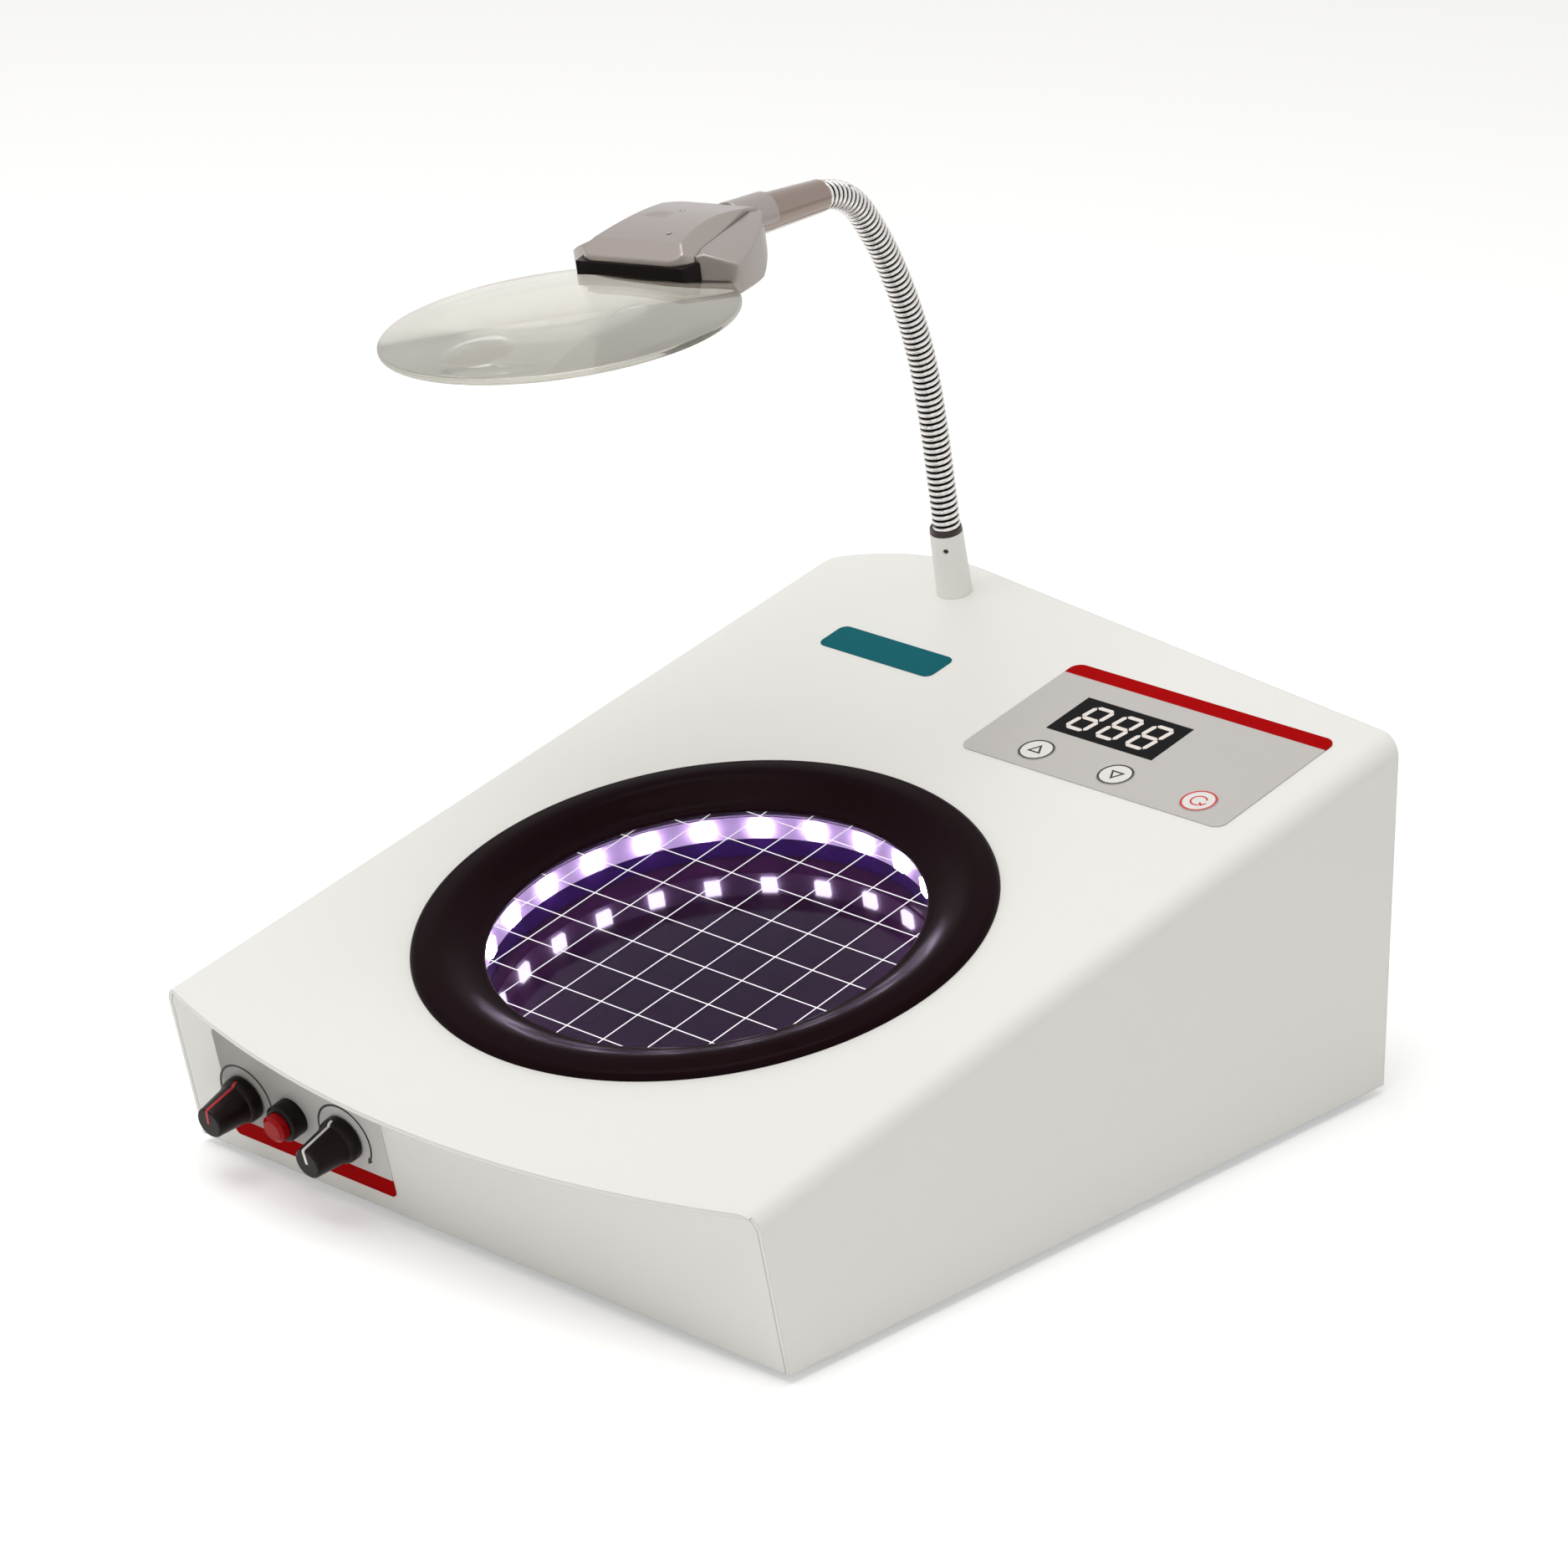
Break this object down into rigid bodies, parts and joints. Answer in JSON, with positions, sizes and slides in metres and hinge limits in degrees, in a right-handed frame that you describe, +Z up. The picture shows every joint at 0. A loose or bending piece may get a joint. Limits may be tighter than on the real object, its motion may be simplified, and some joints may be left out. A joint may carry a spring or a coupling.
{
  "type": "colony counter",
  "caption": "Benchtop colony counter: sloped casing with a lit, gridded dish stage, count display with keys, front dimmer knobs and button, and a magnifier on a gooseneck.",
  "frame": {"origin": "centre of the base plate's underside, between the side walls' ends; the rubber feet reach 3 mm below it", "axes": "+X to the right, +Y to the back, +Z up"},
  "size_m": [0.25, 0.342, 0.2884],
  "materials": {
    "paint": "satin powder coat",
    "zinc": "zinc plated",
    "black_rubber": "matt",
    "bezel_black": "gloss",
    "clear_glass": "clear",
    "chamber_violet": "gloss",
    "white_plastic": "matt",
    "label_grey": "satin film",
    "label_red": "gloss film",
    "smoke": "gloss",
    "digit_white": "lit",
    "black_plastic": "satin",
    "board_green": "coated",
    "knob_black": "satin",
    "red_plastic": "gloss",
    "collar_paint": "satin",
    "grommet_dark": "dark",
    "neck_chrome": "polished",
    "head_silver": "silver lacquer",
    "clear_acrylic": "clear"
  },
  "bodies": {
    "casing": {"top_cover": "paint", "front_panel": "paint", "rear_panel": "paint", "base_plate": "zinc", "rubber_feet": "black_rubber", "screws": "zinc", "bezel_ring": "bezel_black", "glass_gasket": "black_rubber", "grid_glass": "clear_glass", "light_chamber": "chamber_violet", "background_disc": "chamber_violet", "led_strip": "white_plastic", "leds": "white_plastic", "keypad_label": "label_grey", "keypad_stripe": "label_red", "display_window": "smoke", "display_digits": "digit_white", "display_module": "black_plastic", "display_board": "board_green", "board_posts": "zinc", "key_switches": "black_plastic", "front_label": "label_grey", "front_stripe": "label_red", "left_control": "zinc", "right_control": "zinc", "control_nuts": "zinc", "button_collar": "knob_black", "button_nut": "zinc", "button_switch": "black_plastic", "main_board": "board_green", "main_board_posts": "zinc", "buzzer": "black_plastic", "power_jack": "black_plastic", "jack_nut": "zinc", "neck_collar": "collar_paint", "set_screw": "grommet_dark", "neck_nut": "zinc", "neck_grommet": "grommet_dark"},
    "neck_1": {"neck_1": "neck_chrome"},
    "neck_2": {"neck_2": "neck_chrome"},
    "neck_3": {"neck_3": "neck_chrome"},
    "neck_4": {"neck_4": "neck_chrome"},
    "neck_5": {"neck_5": "neck_chrome"},
    "head": {"neck_6": "neck_chrome", "neck_sleeve": "neck_chrome", "head_lower": "head_silver", "head_upper": "head_silver", "head_screws": "grommet_dark", "lens_clamp": "black_plastic", "lens": "clear_acrylic"},
    "left_knob": {"left_knob": "knob_black", "left_pointer": "red_plastic", "left_shaft": "zinc"},
    "right_knob": {"right_knob": "knob_black", "right_pointer": "white_plastic", "right_shaft": "zinc"},
    "button": {"button_cap": "red_plastic"},
    "key_up": {"key_up": "label_grey"},
    "key_down": {"key_down": "label_grey"},
    "key_reset": {"key_reset": "label_grey"}
  },
  "joints": [
    {"name": "neck_sway", "type": "hinge", "parent": "casing", "child": "neck_1", "pos_m": [-0.06551, 0.14375, 0.14575], "axis": [0.0924, -0.9957, 0], "range_deg": [-8, 8]},
    {"name": "neck_bend", "type": "hinge", "parent": "neck_1", "child": "neck_2", "pos_m": [-0.06499, 0.13817, 0.17124], "axis": [0.9957, 0.0924, 0], "range_deg": [-10, 6]},
    {"name": "neck_bend_2", "type": "hinge", "parent": "neck_2", "child": "neck_3", "pos_m": [-0.06439, 0.13169, 0.19651], "axis": [0.9957, 0.0924, 0], "range_deg": [-10, 6]},
    {"name": "neck_bend_3", "type": "hinge", "parent": "neck_3", "child": "neck_4", "pos_m": [-0.06354, 0.12253, 0.22091], "axis": [0.9957, 0.0924, 0], "range_deg": [-10, 6]},
    {"name": "neck_bend_4", "type": "hinge", "parent": "neck_4", "child": "neck_5", "pos_m": [-0.06236, 0.10985, 0.24367], "axis": [0.9957, 0.0924, 0], "range_deg": [-10, 6]},
    {"name": "neck_bend_5", "type": "hinge", "parent": "neck_5", "child": "head", "pos_m": [-0.06088, 0.09388, 0.26422], "axis": [0.9957, 0.0924, 0], "range_deg": [-10, 6]},
    {"name": "left_knob_turn", "type": "hinge", "parent": "casing", "child": "left_knob", "pos_m": [-0.0975, -0.1526, 0.02156], "axis": [0, -0.9696, -0.2446], "range_deg": [-145, 145]},
    {"name": "right_knob_turn", "type": "hinge", "parent": "casing", "child": "right_knob", "pos_m": [-0.0535, -0.1526, 0.02156], "axis": [0, -0.9696, -0.2446], "range_deg": [-145, 145]},
    {"name": "button_press", "type": "slide", "parent": "casing", "child": "button", "axis": [0, 0.9696, 0.2446], "range_m": [0, 0.0022], "stiffness_N_per_m": 350, "springref_m": -0.002},
    {"name": "key_up_press", "type": "slide", "parent": "casing", "child": "key_up", "axis": [0, 0.21, -0.9777], "range_m": [0, 0.0004], "stiffness_N_per_m": 2000, "springref_m": -0.0005},
    {"name": "key_down_press", "type": "slide", "parent": "casing", "child": "key_down", "axis": [0, 0.21, -0.9777], "range_m": [0, 0.0004], "stiffness_N_per_m": 2000, "springref_m": -0.0005},
    {"name": "key_reset_press", "type": "slide", "parent": "casing", "child": "key_reset", "axis": [0, 0.21, -0.9777], "range_m": [0, 0.0004], "stiffness_N_per_m": 2000, "springref_m": -0.0005}
  ],
  "couplings": [
    {"joint": "neck_bend_2", "follows": "neck_bend", "ratio": 1},
    {"joint": "neck_bend_3", "follows": "neck_bend", "ratio": 1},
    {"joint": "neck_bend_4", "follows": "neck_bend", "ratio": 1},
    {"joint": "neck_bend_5", "follows": "neck_bend", "ratio": 1}
  ]
}
